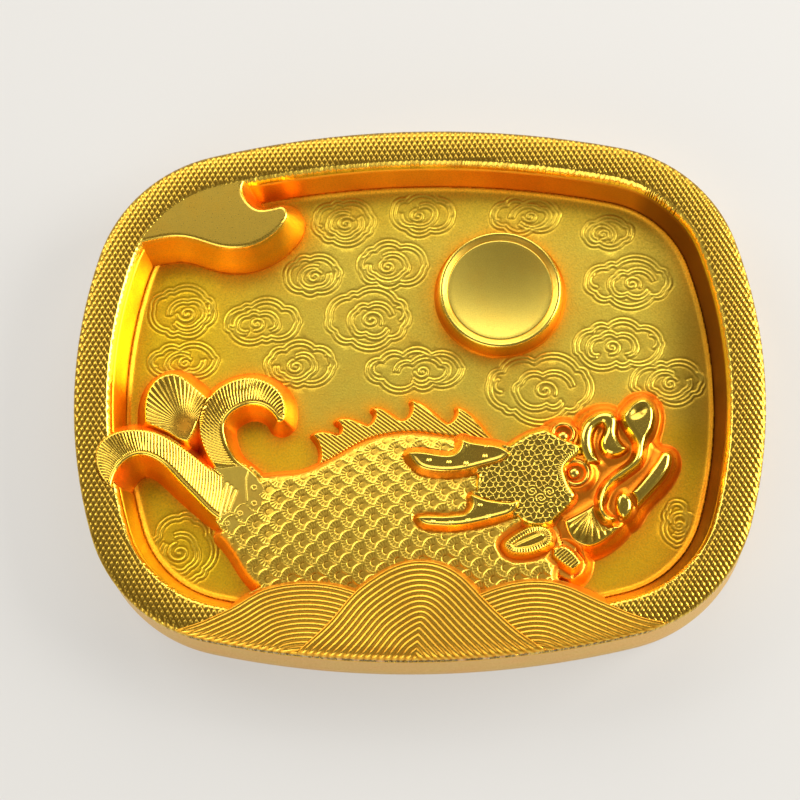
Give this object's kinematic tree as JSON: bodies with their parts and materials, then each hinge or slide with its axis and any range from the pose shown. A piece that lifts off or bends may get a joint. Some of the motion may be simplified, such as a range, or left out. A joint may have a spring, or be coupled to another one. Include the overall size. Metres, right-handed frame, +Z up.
{
  "type": "ink stone",
  "caption": "Cushion-shaped gilt brass ink stone with a knurled rim, shallow pool, round dish, waves, clouds and a dragon-fish in relief.",
  "frame": {"origin": "centre of the underside, on the surface it stands on", "axes": "+X along the long side towards the dragon's head, +Y away from the waves, +Z up"},
  "size_m": [0.131, 0.1044, 0.016],
  "materials": {
    "tray_wall": "polished gilt brass on the leaning pool wall, satin outside",
    "blasted_floor": "satin blasted gilt brass with cloud scrolls, darker gold in the open, orange at the reliefs' feet",
    "knurled_rim": "gilt brass with a fine diamond knurl, toned in its grooves",
    "polished_dish": "satin top and polished sides, gilt brass",
    "satin_shelf": "satin gilt brass top with a polished orange-gold side",
    "ridged_wave": "gilt brass with fine concentric ridges",
    "scaled_body": "gilt brass with fan-shaped scales, toned between them",
    "polished_relief": "smooth gilt brass, burnished on its edges",
    "ribbed_relief": "gilt brass with fine ribs, toned between them",
    "netted_crest": "gilt brass with a net of small rounded cells"
  },
  "bodies": {
    "root": {"tray_casting": "tray_wall", "floor_plate": "blasted_floor", "rim_band": "knurled_rim", "moon_dish": "polished_dish", "cloud_shelf": "satin_shelf", "wave_left": "ridged_wave", "wave_centre": "ridged_wave", "wave_right": "ridged_wave", "fish_body": "scaled_body", "head_base": "polished_relief", "tail_root": "polished_relief", "tail_curl_lower": "ribbed_relief", "tail_curl_upper": "ribbed_relief", "tail_fan": "ribbed_relief", "dorsal_fin": "ribbed_relief", "forehead_crest": "netted_crest", "large_eye_ring": "polished_relief", "large_eye_ball": "polished_relief", "small_eye_ring": "polished_relief", "small_eye_ball": "polished_relief", "snout_lip": "polished_relief", "nose_curl": "polished_relief", "mouth_ball": "polished_relief", "jaw_bar": "polished_relief", "cheek_fan": "ribbed_relief", "ear_leaf": "ribbed_relief", "side_fin": "ribbed_relief", "horn_upper": "polished_relief", "horn_lower": "polished_relief"}
  },
  "joints": []
}
